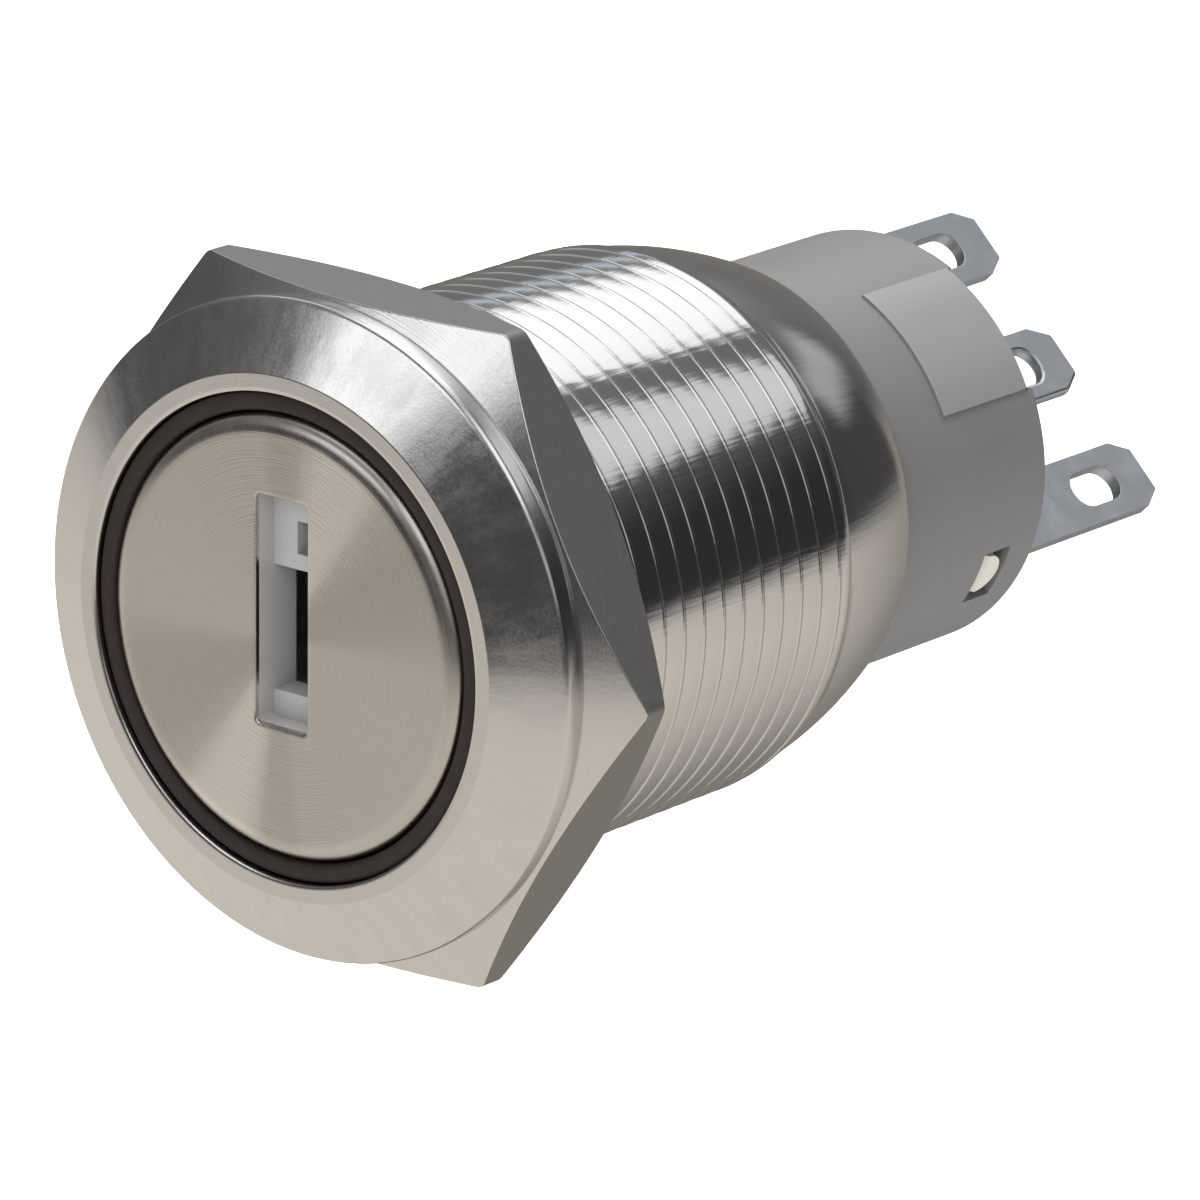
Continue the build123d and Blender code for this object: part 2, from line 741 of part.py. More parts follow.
parts = {
    "bezel_barrel": make_bezel_barrel(),
    "hex_nut": make_hex_nut(),
    "panel_gasket": make_panel_gasket(),
    "trim_ring": make_trim_ring(),
    "face_disc": make_face_disc(),
    "key_guide": make_key_guide(),
    "lock_plug": make_lock_plug(),
    "lock_shell": make_lock_shell(),
    "shell_pin": make_shell_pin(),
    "plug_clip": make_plug_clip(),
    "drive_cam": make_drive_cam(),
    "cam_screw": make_cam_screw(),
    "index_spring_left": make_index_spring(-1),
    "index_spring_right": make_index_spring(1),
    "plunger": make_plunger(),
    "return_spring": make_return_spring(),
    "moving_contact": make_moving_contact(),
    "moving_rivet": make_moving_rivet(),
    "rivet_nc": make_rivet_nc(),
    "rivet_no": make_rivet_no(),
    "terminal_nc": side_terminal(lug_pitch, nc_arm_y),
    "terminal_common": make_terminal_common(),
    "terminal_no": side_terminal(-lug_pitch, no_arm_y),
    "rear_housing": make_rear_housing(),
    "contact_base": make_contact_base(),
    "rear_seal": make_rear_seal(),
}
for n in range(wafer_count):
    parts[f"wafer_{n + 1}"] = make_wafer(n)
    parts[f"wafer_spring_{n + 1}"] = make_wafer_spring(n)

os.makedirs("parts", exist_ok=True)
for name, part in parts.items():
    export_step(part, f"parts/{name}.step")
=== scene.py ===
import math

import bmesh
import bpy
import numpy as np
from mathutils import Matrix, Vector


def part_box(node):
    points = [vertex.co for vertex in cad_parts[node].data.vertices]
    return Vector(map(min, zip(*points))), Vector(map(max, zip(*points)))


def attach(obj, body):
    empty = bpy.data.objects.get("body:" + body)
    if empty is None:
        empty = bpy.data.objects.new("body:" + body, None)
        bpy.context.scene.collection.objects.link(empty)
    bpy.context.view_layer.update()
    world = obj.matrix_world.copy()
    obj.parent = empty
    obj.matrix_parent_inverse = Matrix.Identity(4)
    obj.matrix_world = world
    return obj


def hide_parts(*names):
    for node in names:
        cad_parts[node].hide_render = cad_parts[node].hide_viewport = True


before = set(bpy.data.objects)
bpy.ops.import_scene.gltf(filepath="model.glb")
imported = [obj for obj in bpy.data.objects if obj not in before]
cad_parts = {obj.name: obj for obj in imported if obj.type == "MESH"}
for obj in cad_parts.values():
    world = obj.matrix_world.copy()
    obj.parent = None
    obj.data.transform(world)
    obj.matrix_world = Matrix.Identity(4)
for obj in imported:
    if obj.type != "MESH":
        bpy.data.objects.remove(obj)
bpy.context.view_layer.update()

mm = 0.001


# Head and threaded barrel: one bar of stainless steel, turned to a bevelled head with a polished
# flat ring round its bore, then threaded M19 x 1 and left with a smooth tapered tail.
class Shade:
    """A number, colour or vector that nodes work out, with Python's own operators for numbers."""

    def __init__(self, nodes, socket):
        self.nodes = nodes
        self.socket = socket

    def out(self, name):
        return Shade(self.nodes, self.socket.node.outputs[name])

    def math(self, operation, *values):
        return self.nodes.node("ShaderNodeMath", {"operation": operation}, dict(enumerate(values)))

    def __add__(self, other):
        return self.math("ADD", self, other)

    def __radd__(self, other):
        return self.math("ADD", other, self)

    def __sub__(self, other):
        return self.math("SUBTRACT", self, other)

    def __rsub__(self, other):
        return self.math("SUBTRACT", other, self)

    def __mul__(self, other):
        return self.math("MULTIPLY", self, other)

    def __rmul__(self, other):
        return self.math("MULTIPLY", other, self)

    def __truediv__(self, other):
        return self.math("DIVIDE", self, other)

    def __pow__(self, other):
        return self.math("POWER", self, other)


class Nodes:
    """The nodes of one material or of the surroundings."""

    def __init__(self, tree):
        self.tree = tree

    def node(self, kind, settings=None, values=None, out=0):
        """One node of any kind: its settings first, then the values or links of its sockets."""
        made = self.tree.nodes.new(kind)
        for key, value in (settings or {}).items():
            setattr(made, key, value)
        for key, value in (values or {}).items():
            self.feed(made.inputs[key], value)
        return Shade(self, made.outputs[out])

    def feed(self, socket, value):
        if isinstance(value, Shade):
            self.tree.links.new(value.socket, socket)
        else:
            socket.default_value = value

    def ramp(self, value, low, high, start=0.0, end=1.0):
        """start where value is under low, end where it is over high, and a smooth step between."""
        limits = {"Value": value, "From Min": low, "From Max": high, "To Min": start, "To Max": end}
        return self.node("ShaderNodeMapRange", {"interpolation_type": "SMOOTHSTEP"}, limits)

    def mix(self, share, first, second):
        """A colour that goes from first to second as share goes from 0 to 1."""
        return self.node("ShaderNodeMix", {"data_type": "RGBA"}, {0: share, 6: first, 7: second}, out=2)


class Finish(Nodes):
    """One material: a Principled shader, and the place on the piece as x, y, z, r and turn."""

    def __init__(self, name, **fixed):
        self.material = bpy.data.materials.new(name)
        self.material.use_nodes = True
        super().__init__(self.material.node_tree)
        self.shader = self.tree.nodes["Principled BSDF"]
        for label, value in fixed.items():
            self.shader.inputs[label.replace("_", " ")].default_value = value
        self.place = self.node("ShaderNodeTexCoord", out="Object")
        self.x = self.node("ShaderNodeSeparateXYZ", {}, {0: self.place})
        self.y = self.x.out("Y")
        self.z = self.x.out("Z")
        self.r = (self.x * self.x + self.z * self.z) ** 0.5
        self.turn = self.x.math("ARCTAN2", self.z, self.x)

    def grain(self, size, detail=3.0, spread=0.5):
        """Cloudy noise from 0 to 1, whose largest spots are about size metres."""
        values = {"Vector": self.place, "Scale": 1 / size, "Detail": detail, "Roughness": spread}
        return self.node("ShaderNodeTexNoise", {}, values, out="Fac")

    def lines(self, along, width, detail=2.0):
        """Noise that changes only with along, as tool marks do, with lines about width apart."""
        values = {"W": along / width, "Scale": 1.0, "Detail": detail, "Roughness": 0.6}
        return self.node("ShaderNodeTexNoise", {"noise_dimensions": "1D"}, values, out="Fac")

    def spots(self, across, along):
        """Noise over two numbers, with one spot for each unit of them."""
        values = {"Vector": self.node("ShaderNodeCombineXYZ", {}, {0: across, 1: along}), "Scale": 1.0}
        return self.node("ShaderNodeTexNoise", {"noise_dimensions": "2D"}, values, out="Fac")

    def chatter(self, width, length):
        """Noise in spots that are width metres wide round the axis, at the barrel's radius, and length
        metres long along a cut through it."""
        mean_r = 9.5 * mm
        return self.spots(self.turn * mean_r / width, (self.y + self.r) / length)

    def arcs(self, width, sweep):
        """Noise in scratches that are width metres wide and run sweep radians round the axis."""
        return self.spots(self.r / width, self.turn / sweep)

    def coat(self, colour=None, roughness=None, height=None, depth=0.0):
        """Feeds the shader: colour, roughness, and a bump of the given depth in metres."""
        if colour is not None:
            self.feed(self.shader.inputs["Base Color"], colour)
        if roughness is not None:
            self.feed(self.shader.inputs["Roughness"], roughness)
        if height is not None:
            bump = self.node("ShaderNodeBump", {}, {"Height": height, "Distance": depth}, out="Normal")
            self.feed(self.shader.inputs["Normal"], bump)


def grey(level, warmth=0.0):
    """A colour of one lightness, moved towards yellow by warmth."""
    return (level, level * (1 - 0.4 * warmth), level * (1 - warmth), 1.0)


def turned_finish(name, level, low, high, mark, depth, polished_y=None):
    """Steel with fine tool marks round the axis, faint radial sweeps and a satin grain. Behind
    polished_y it is as bright as the tool left it, with the tool's chatter across its marks."""
    finish = Finish(name, Metallic=1.0)
    marks = finish.lines(finish.r + finish.y * 0.8, mark)
    sweep = finish.lines(finish.turn, 0.09)
    clouds = finish.grain(1.6 * mm)
    satin = finish.grain(0.14 * mm, 2.0)
    share = marks * 0.3 + sweep * 0.25 + clouds * 0.2 + satin * 0.25
    gloss = finish.ramp(share, 0.3, 0.7, low, high)
    height = marks * 0.5 + satin * 0.5
    if polished_y is not None:
        bright = finish.ramp(finish.y, polished_y, polished_y + 0.2 * mm)
        chatter = finish.chatter(0.25 * mm, 3 * mm)
        gloss = gloss * (1 - bright * 0.45)
        height = height * (1 - bright * 0.6) + chatter * bright * 1.2
    finish.coat(
        colour=finish.mix(share, grey(0.9 * level, 0.05), grey(1.08 * level, 0.02)),
        roughness=gloss,
        height=height,
        depth=depth,
    )
    return finish


def satin_finish(name, level, low, high):
    """Steel blasted to a fine silky speckle over soft smudges that run out from the axis."""
    finish = Finish(name, Metallic=1.0)
    smudges = finish.chatter(0.7 * mm, 2.5 * mm)
    clouds = finish.grain(0.9 * mm)
    speckle = finish.grain(0.09 * mm, 2.0)
    share = smudges * 0.4 + clouds * 0.2 + speckle * 0.4
    finish.coat(
        colour=finish.mix(share, grey(0.84 * level, 0.04), grey(1.14 * level, 0.02)),
        roughness=finish.ramp(share, 0.35, 0.65, low, high),
        height=smudges * 0.8 + speckle * 0.25,
        depth=0.005 * mm,
    )
    return finish


def rounded(points, cut, steps=5):
    """A chain of points with its inner corners rounded. The corner B between A and C becomes
    (1-t)^2 P + 2t(1-t) B + t^2 Q, where P and Q lie cut from B towards A and C, but no further than
    0.3 of the shorter side. Two more points, 1.5 cuts from B, keep the straight parts flat to the
    light. Points are (radius, y)."""
    points = np.asarray(points, float)
    before, corner, after = points[:-2], points[1:-1], points[2:]
    back = before - corner
    ahead = after - corner
    back_len = np.linalg.norm(back, axis=-1, keepdims=True)
    ahead_len = np.linalg.norm(ahead, axis=-1, keepdims=True)
    cuts = np.minimum(cut, 0.3 * np.minimum(back_len, ahead_len))
    first = corner + back / back_len * cuts
    last = corner + ahead / ahead_len * cuts
    t = np.linspace(0, 1, steps).reshape((-1,) + (1,) * corner.ndim)
    curve = (1 - t) ** 2 * first + 2 * t * (1 - t) * corner + t ** 2 * last
    outer = corner + back / back_len * cuts * 1.5
    inner = corner + ahead / ahead_len * cuts * 1.5
    rows = np.concatenate([outer[None], curve, inner[None]])
    rows = np.swapaxes(rows, 0, 1).reshape((-1,) + points.shape[1:])
    return np.concatenate([points[:1], rows, points[-1:]])


def around(profile, angles):
    """A (radius, y) profile carried round the axis: (r cos a, y, r sin a). The profile is
    the same at every angle, or gives its points for each one."""
    profile = np.asarray(profile, float)
    if profile.ndim == 2:
        profile = np.repeat(profile[:, None], len(angles), axis=1)
    radius, along = profile[..., 0], profile[..., 1]
    return np.stack([radius * np.cos(angles), along, radius * np.sin(angles)], axis=-1)


def piece_from(name, points, faces, finishes, finish_of_face, crease):
    """A closed mesh in metres from points in millimetres, welded and with its faces outwards: its
    volume, the sum of a . (b x c) / 6 over its triangles, has to be positive."""
    a, b, c, d = (points[faces[:, n]] for n in range(4))
    volume = np.einsum("ij,ij", a, np.cross(b, c)) + np.einsum("ij,ij", a, np.cross(c, d))
    if volume < 0:
        faces = faces[:, ::-1]
    mesh = bpy.data.meshes.new(name)
    mesh.from_pydata((points * mm).tolist(), [], faces.tolist())
    for finish in finishes:
        mesh.materials.append(finish.material)
    if finish_of_face is not None:
        mesh.polygons.foreach_set("material_index", finish_of_face)
    weld = bmesh.new()
    weld.from_mesh(mesh)
    bmesh.ops.remove_doubles(weld, verts=weld.verts, dist=0.0001 * mm)
    weld.to_mesh(mesh)
    weld.free()
    mesh.shade_smooth()
    mesh.set_sharp_from_angle(angle=math.radians(crease))
    made = bpy.data.objects.new(name, mesh)
    bpy.context.scene.collection.objects.link(made)
    return made


def ring_piece(name, grid, finishes, finish_of_row=None, crease=32.0, helix=False):
    """The mesh of a grid of points that closes on itself both ways. The last column of a helix lies
    on its first already, one pitch along, and is welded to it."""
    rows, columns = grid.shape[:2]
    index = np.arange(rows * columns).reshape(rows, columns)
    below = np.roll(index, -1, axis=0)
    faces = np.stack([index, below, np.roll(below, -1, axis=1), np.roll(index, -1, axis=1)], axis=-1)
    if helix:
        faces = faces[:, :-1]
    which = None if finish_of_row is None else np.repeat(finish_of_row, faces.shape[1])
    return piece_from(name, grid.reshape(-1, 3), faces.reshape(-1, 4), finishes, which, crease)


barrel_low, barrel_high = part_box("bezel_barrel")
face_y = barrel_low.y / mm
barrel_end_y = barrel_high.y / mm
head_r = barrel_high.x / mm
rim_y = -0.88
rim_back_w, rim_back_h = 0.2, 0.36
bore_r = 8.11
bore_open_y, bore_close_y = 2.0, 7.0
ring_r = 8.73
bore_edge, ring_edge, bevel_edge = 0.12, 0.025, 0.13
groove_in_r = 9.71
groove_out_r = 10.69
groove_y = -0.6
seat_edge = 0.04
thread_r = 9.44
thread_depth = 0.1
thread_pitch = 1.0
thread_from_y = 0.35
thread_to_y = 15.6
thread_phase = -0.07
thread_fade = 0.35
crest_w = 0.83
crest_sag = 0.006
tail_r = 9.3
tail_mid_r, tail_mid_y = 8.58, 18.85
tail_end_r = 8.0
rear_bore_r = 7.3
lip_r = 6.95
lip_front_y, lip_back_y = 12.98, 13.98

full_turn = np.linspace(0, 2 * np.pi, 257)


def thread_rows(angles):
    """Rows of a right-hand thread. The row at s pitches lies at y = y0 + p (s - a / 2 pi). Over the
    broad crest its radius falls by the square of the distance from the middle. The rolling left a
    round burr at the crest's rear edge, and a hair-fine groove parts it from the next crest; drop
    gives both as shares of the depth. At both ends the thread fades to a plain ring, where rows that
    have run off lie on top of each other."""
    groove = 1 - crest_w
    crest = np.linspace(0, crest_w, 6)
    edge = np.array([0.1, 0.2, 0.3, 0.4, 0.5, 0.6, 0.72, 0.86])
    drop = np.array([-0.15, -0.26, -0.3, -0.26, -0.15, 0.0, 0.6, 0.6])
    sag = crest_sag / thread_depth
    phases = np.concatenate([crest, crest_w + groove * edge])
    depths = np.concatenate([sag * (2 * crest / crest_w - 1) ** 2, sag + (1 - sag) * drop])
    turns = math.ceil((thread_to_y - thread_from_y) / thread_pitch) + 2
    s = (np.arange(turns)[:, None] + phases).ravel()
    depth = np.tile(depths, turns)
    start_y = math.floor(thread_from_y) + thread_phase
    along = start_y + thread_pitch * (s[:, None] - angles / (2 * np.pi))
    along = np.clip(along, thread_from_y, thread_to_y)
    ends = np.minimum(along - thread_from_y, thread_to_y - along)
    fade_curve = 0.6
    fade = np.clip(ends / thread_fade, 0, 1) ** fade_curve
    middle = (thread_from_y + thread_to_y) / 2
    end_r = np.where(along > middle, tail_r, thread_r - thread_depth)
    radius = end_r + fade * (thread_r - depth[:, None] * thread_depth - end_r)
    return np.stack([radius, along], axis=-1)


def barrel_grid(angles):
    """Head, thread, tail and bore, one after another round the cross-section, which closes along the
    bore. The rim's back edge is a quarter of an ellipse, r = R - w (1 - cos t), y = h (sin t - 1)."""
    face = rounded([
        (bore_r, bore_open_y), (bore_r, face_y), (ring_r, face_y), (head_r, rim_y),
        (head_r, -rim_back_h),
    ], np.array([[bore_edge], [ring_edge], [bevel_edge]]))
    turn = np.linspace(0, np.pi / 2, 7)[1:]
    rim_back = np.stack([head_r - rim_back_w * (1 - np.cos(turn)), rim_back_h * (np.sin(turn) - 1)], axis=-1)
    seat = rounded([
        (head_r - rim_back_w, 0), (groove_out_r, 0), (groove_out_r, groove_y), (groove_in_r, groove_y),
        (groove_in_r, 0), (thread_r - thread_depth, 0), (thread_r - thread_depth, thread_from_y),
    ], seat_edge)
    head = np.concatenate([face, rim_back, seat[1:]])
    bend = np.polyfit([thread_to_y, tail_mid_y, barrel_end_y], [tail_r, tail_mid_r, tail_end_r], 2)
    tail_y = np.linspace(thread_to_y, barrel_end_y, 20)
    tail = list(zip(np.polyval(bend, tail_y), tail_y))
    inside = rounded([
        tail[-2], tail[-1], (rear_bore_r, barrel_end_y), (rear_bore_r, lip_back_y),
        (lip_r, lip_back_y), (lip_r, lip_front_y), (bore_r, lip_front_y), (bore_r, bore_close_y),
    ], bore_edge)
    front = np.repeat(head[:, None], len(angles), axis=1)
    rear = np.repeat(np.concatenate([tail[1:-2], inside])[:, None], len(angles), axis=1)
    return around(np.concatenate([front, thread_rows(angles), rear]), angles)


turned_steel = turned_finish("turned_steel", 0.63, 0.14, 0.24, 0.05 * mm, 0.003 * mm, 0.2 * mm)
satin_steel = satin_finish("satin_steel", 0.63, 0.16, 0.26)
barrel_points = barrel_grid(full_turn)
rows_per_edge = 7
# The bevel lies behind the second rounded edge, and the near parts of both its edges go with it.
bevel_row = 2 * rows_per_edge
bevel_rows = np.zeros(len(barrel_points), int)
bevel_rows[bevel_row - 2:bevel_row + 4] = 1
barrel = ring_piece("barrel", barrel_points, [turned_steel, satin_steel], bevel_rows, 28, helix=True)
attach(barrel, "switch_body")
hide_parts("bezel_barrel")


# Panel nut: stainless hexagon, faced to a cone on both sides so that its flats end in curved
# tips, and run up the thread against the head. The flats keep the dull skin of the drawn bar.
nut_low, nut_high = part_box("hex_nut")
nut_y0 = nut_low.y / mm
nut_y1 = nut_high.y / mm
nut_flat_r = head_r
nut_corner_r = nut_flat_r / math.cos(math.pi / 6)
nut_corner_h = 0.8
nut_slope = math.tan(math.radians(30))
nut_turn = math.radians(-2.2)
nut_bore_r = 9.49
nut_sink_r = 9.95
nut_corner_cut = 0.06
nut_edge_r = 0.035


def hexagon(flat_r, corner_cut):
    """Angle and radius of a hexagon's outline with its corners eased. Side k is x = flat_r turned by
    60 k degrees, and its points lie closer together towards its ends. Within eased corners the
    radius is held to corner_r - corner_cut."""
    per_side, crowding = 40, 1.6
    along = np.linspace(-1, 1, per_side, endpoint=False)
    spread = np.sign(along) * (1 - (1 - np.abs(along)) ** crowding)
    within = spread * math.pi / 6
    angle = (np.arange(6)[:, None] * math.pi / 3 + within).ravel()
    radius = np.tile(flat_r / np.cos(within), 6)
    return angle, np.minimum(radius, flat_r / math.cos(math.pi / 6) - corner_cut)


def nut_grid():
    """At each angle: bore, face, front cone out to the hexagon, flat, rear cone and back. The cone
    is r = corner_r - (edge_y - y) / tan 30, so it meets each flat in a curve."""
    angle, outline = hexagon(nut_flat_r, nut_corner_cut)
    angle = angle + nut_turn + math.pi / 6
    ones = np.ones_like(angle)
    cone_depth = (nut_y1 - nut_y0 - nut_corner_h) / 2
    face_r = nut_corner_r - cone_depth / nut_slope
    meet = cone_depth - (nut_corner_r - outline) * nut_slope
    middle = (nut_y0 + nut_y1) / 2
    stations = [
        (nut_bore_r * ones, middle * ones),
        (nut_bore_r * ones, (nut_y0 + nut_sink_r - nut_bore_r) * ones),
        (nut_sink_r * ones, nut_y0 * ones),
        (face_r * ones, nut_y0 * ones),
        (outline, nut_y0 + meet),
        (outline, nut_y1 - meet),
        (face_r * ones, nut_y1 * ones),
        (nut_sink_r * ones, nut_y1 * ones),
        (nut_bore_r * ones, (nut_y1 - nut_sink_r + nut_bore_r) * ones),
        (nut_bore_r * ones, middle * ones),
    ]
    profile = rounded(np.array(stations).transpose(0, 2, 1), nut_edge_r, steps=4)[:-1]
    return around(profile, angle)


nut_points = nut_grid()
rows_per_corner = 6
# The flats run from the middle of the fourth rounded corner of the section to that of the fifth.
flat_row = 1 + 3 * rows_per_corner + rows_per_corner // 2
flat_rows = np.zeros(len(nut_points), int)
flat_rows[flat_row:flat_row + rows_per_corner] = 1
nut_steel = turned_finish("nut_turned_steel", 0.63, 0.17, 0.26, 0.07 * mm, 0.004 * mm)
nut_skin = Finish("nut_drawn_skin", Metallic=1.0)
skin_marks = nut_skin.lines(nut_skin.y, 0.03 * mm)
skin_share = nut_skin.grain(0.25 * mm) * 0.5 + skin_marks * 0.5
nut_skin.coat(
    colour=nut_skin.mix(skin_share, grey(0.3, 0.06), grey(0.37, 0.05)),
    roughness=nut_skin.ramp(skin_share, 0.3, 0.7, 0.54, 0.64),
    height=skin_share,
    depth=0.004 * mm,
)
nut = ring_piece("nut", nut_points, [nut_steel, nut_skin], flat_rows, crease=28)
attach(nut, "panel_nut")
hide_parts("hex_nut")


# Seal and dark ring: a black rubber ring lies in the groove under the head, and a dark moulded
# ring with a slightly crowned face fills the gap between the bore and the turning cap.
rubber = Finish("seal_rubber")
rubber.coat(
    colour=rubber.mix(rubber.grain(0.4 * mm), grey(0.018), grey(0.035)),
    roughness=rubber.ramp(rubber.grain(0.2 * mm), 0.3, 0.7, 0.55, 0.75),
)
trim_low, trim_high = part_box("trim_ring")
trim_in_r = 7.45
trim_out_r = trim_high.x / mm
trim_y0 = trim_low.y / mm
trim_y1 = trim_high.y / mm
trim_crown = 0.05
trim_edge = 0.1


def trim_grid():
    """A ring whose face lies at y = y0 + crown u^2 + edge u^8, u going from -1 to 1 across it."""
    u = np.linspace(-1, 1, 21)
    radius = (trim_in_r + trim_out_r) / 2 + u * (trim_out_r - trim_in_r) / 2
    face = np.stack([radius, trim_y0 + trim_crown * u ** 2 + trim_edge * u ** 8], axis=-1)
    return around(np.concatenate([face, [(trim_out_r, trim_y1), (trim_in_r, trim_y1)]]), full_turn[:-1])


dark_plastic = Finish("dark_ring_plastic")
dark_plastic.shader.inputs["Specular IOR Level"].default_value = 0.15
dark_share = dark_plastic.grain(0.6 * mm)
dark_plastic.coat(
    colour=dark_plastic.mix(dark_share, (0.018, 0.013, 0.012, 1), (0.027, 0.02, 0.018, 1)),
    roughness=dark_plastic.ramp(dark_share, 0.3, 0.7, 0.4, 0.5),
    height=dark_plastic.lines(dark_plastic.r, 0.08 * mm),
    depth=0.002 * mm,
)
trim = ring_piece("dark_ring", trim_grid(), [dark_plastic])
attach(trim, "switch_body")
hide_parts("trim_ring")


# Face cap: drawn from thin stainless sheet, its rim rounded by the drawing and its face brushed
# while it turned, with the keyway punched through. It turns with the key.
disc_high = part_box("face_disc")[1]
disc_r = disc_high.x / mm
disc_back_y = disc_high.y / mm
disc_sheet = 0.2
disc_rim_w, disc_rim_h = 0.6, 0.46
slot_half_w = 1.11
slot_low_z, slot_high_z = -2.98, 4.7
slot_mid_z = (slot_low_z + slot_high_z) / 2
slot_corner_r = 0.22
slot_edge = 0.06


def slot_outline(grow):
    """Outline of the keyway, grown by grow. Its corners are arcs, and its long sides are x = half
    width, z = x tan a, at even steps of the angle a about the axis."""
    half_w = slot_half_w + grow
    radius = slot_corner_r + grow
    arc = np.linspace(0, np.pi / 2, 9)
    short_points, long_points = 10, 44
    corners = []
    for x, z, start in ((half_w, slot_high_z + grow, 0), (-half_w, slot_high_z + grow, 1),
                        (-half_w, slot_low_z - grow, 2), (half_w, slot_low_z - grow, 3)):
        centre = np.array([x - math.copysign(radius, x), z - math.copysign(radius, z - slot_mid_z)])
        turn = arc + start * np.pi / 2
        corners.append(centre + radius * np.stack([np.cos(turn), np.sin(turn)], axis=-1))
    sides = []
    for n in range(4):
        start, end = corners[n][-1], corners[(n + 1) % 4][0]
        if n % 2 == 0:
            share = np.linspace(0, 1, short_points + 2)[1:-1, None]
            sides.append(start + share * (end - start))
        else:
            from_turn = math.atan2(start[1], abs(start[0]))
            to_turn = math.atan2(end[1], abs(end[0]))
            z = abs(start[0]) * np.tan(np.linspace(from_turn, to_turn, long_points + 2)[1:-1])
            sides.append(np.stack([np.full(long_points, start[0]), z], axis=-1))
    return np.concatenate([part for n in range(4) for part in (corners[n], sides[n])])


def disc_grid():
    """Rows from the keyway's wall out over the face, round the rim, down the skirt and back inside.
    A row on the face at share w is (1 - w) times the keyway's outline plus w times the rim, and the
    rim is a quarter of an ellipse. Rows a hold from an edge keep the flat parts flat to the light."""
    wall_hold, skirt_hold = 0.03, 0.05
    wall = slot_outline(0.0)
    rim = slot_outline(slot_edge)
    turn = np.arctan2(rim[:, 1], rim[:, 0])
    unit = np.stack([np.cos(turn), np.sin(turn)], axis=-1)
    inner_y = face_y + disc_sheet

    def row(flat, y):
        return np.stack([flat[:, 0], np.full(len(flat), y), flat[:, 1]], axis=-1)

    rows = [row(wall, inner_y), row(wall, inner_y - wall_hold), row(wall, face_y + 1.6 * slot_edge)]
    for t in np.linspace(0, np.pi / 2, 5):
        grown = slot_outline(slot_edge * (1 - math.cos(t)))
        rows.append(row(grown, face_y + slot_edge * (1 - math.sin(t))))
    edge_r = disc_r - disc_rim_w
    for w in (0.03, 0.2, 0.4, 0.6, 0.8, 0.97, 1.0):
        rows.append(row((1 - w) * rim + w * edge_r * unit, face_y))
    for t in np.linspace(0, np.pi / 2, 10)[1:]:
        rows.append(row((edge_r + disc_rim_w * math.sin(t)) * unit, face_y + disc_rim_h * (1 - math.cos(t))))
    skirt_r = disc_r - disc_sheet
    skirt = [
        (disc_r, face_y + disc_rim_h + 2 * skirt_hold), (disc_r, disc_back_y - skirt_hold),
        (disc_r, disc_back_y), (skirt_r, disc_back_y), (skirt_r, disc_back_y - skirt_hold),
        (skirt_r, inner_y + skirt_hold), (skirt_r, inner_y), (skirt_r - 2 * skirt_hold, inner_y),
    ]
    for radius, y in skirt:
        rows.append(row(radius * unit, y))
    return np.array(rows)


brushed = Finish("brushed_cap_steel", Metallic=1.0)
brush_fine = brushed.lines(brushed.r, 0.03 * mm, 3.0)
brush_arcs = brushed.arcs(0.05 * mm, 0.35)
brush_sweep = brushed.lines(brushed.turn, 0.11, 3.0)
brush_clouds = brushed.grain(0.9 * mm, 4.0, 0.65)
brush_share = brush_fine * 0.1 + brush_arcs * 0.35 + brush_sweep * 0.25 + brush_clouds * 0.3


def gleam(middle, narrow, wide):
    """1 along the line through the axis at the angle middle, 0 beyond an angle of wide on both sides."""
    turn = brushed.turn - math.radians(middle)
    across = turn.math("ABSOLUTE", turn.math("COSINE", turn))
    return brushed.ramp(across, math.cos(math.radians(wide)), math.cos(math.radians(narrow)))


# Painted highlight and painted shade: a light streak through the axis at 67 degrees and dark ones at 27 and
# 90 degrees stand in for the light that a circularly brushed face catches. They are painted into the colour
# and turn with the cap.
painted_sheen_streaks = gleam(67, 3, 17) * 0.17 - gleam(27, 2, 28) * 0.09 - gleam(90, 2, 9) * 0.05
flat_face = brushed.ramp(brushed.r, 6.9 * mm, 7.1 * mm, 1, 0)
shine = brush_share * 0.22 + 0.43 + painted_sheen_streaks * flat_face
brushed.coat(
    colour=brushed.mix(shine, grey(0.0), grey(1.0, 0.1)),
    roughness=brushed.ramp(brush_share, 0.3, 0.7, 0.17, 0.26) + (1 - flat_face) * 0.1,
    height=(brush_fine * 0.3 + brush_arcs * 0.7) * flat_face,
    depth=0.004 * mm,
)
disc = ring_piece("keyway_cap", disc_grid(), [brushed], crease=40)
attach(disc, "rotor")
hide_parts("face_disc")


# Plastic mouldings: grey housing, ivory contact carrier, light grey key guide, white cam and
# plunger. All are plain moulded nylon with a fine spark-eroded skin.
def moulded_finish(name, dark, light, low, high):
    """Moulded plastic: nearly even colour, slightly cloudy, with a fine grained skin."""
    finish = Finish(name)
    clouds = finish.grain(2.5 * mm)
    skin = finish.grain(0.12 * mm, 2.0)
    finish.coat(
        colour=finish.mix(clouds * 0.6 + skin * 0.4, dark, light),
        roughness=finish.ramp(clouds, 0.3, 0.7, low, high),
        height=skin,
        depth=0.003 * mm,
    )
    return finish


housing_plastic = moulded_finish("housing_plastic", grey(0.112, 0.03), grey(0.134, 0.04), 0.42, 0.52)
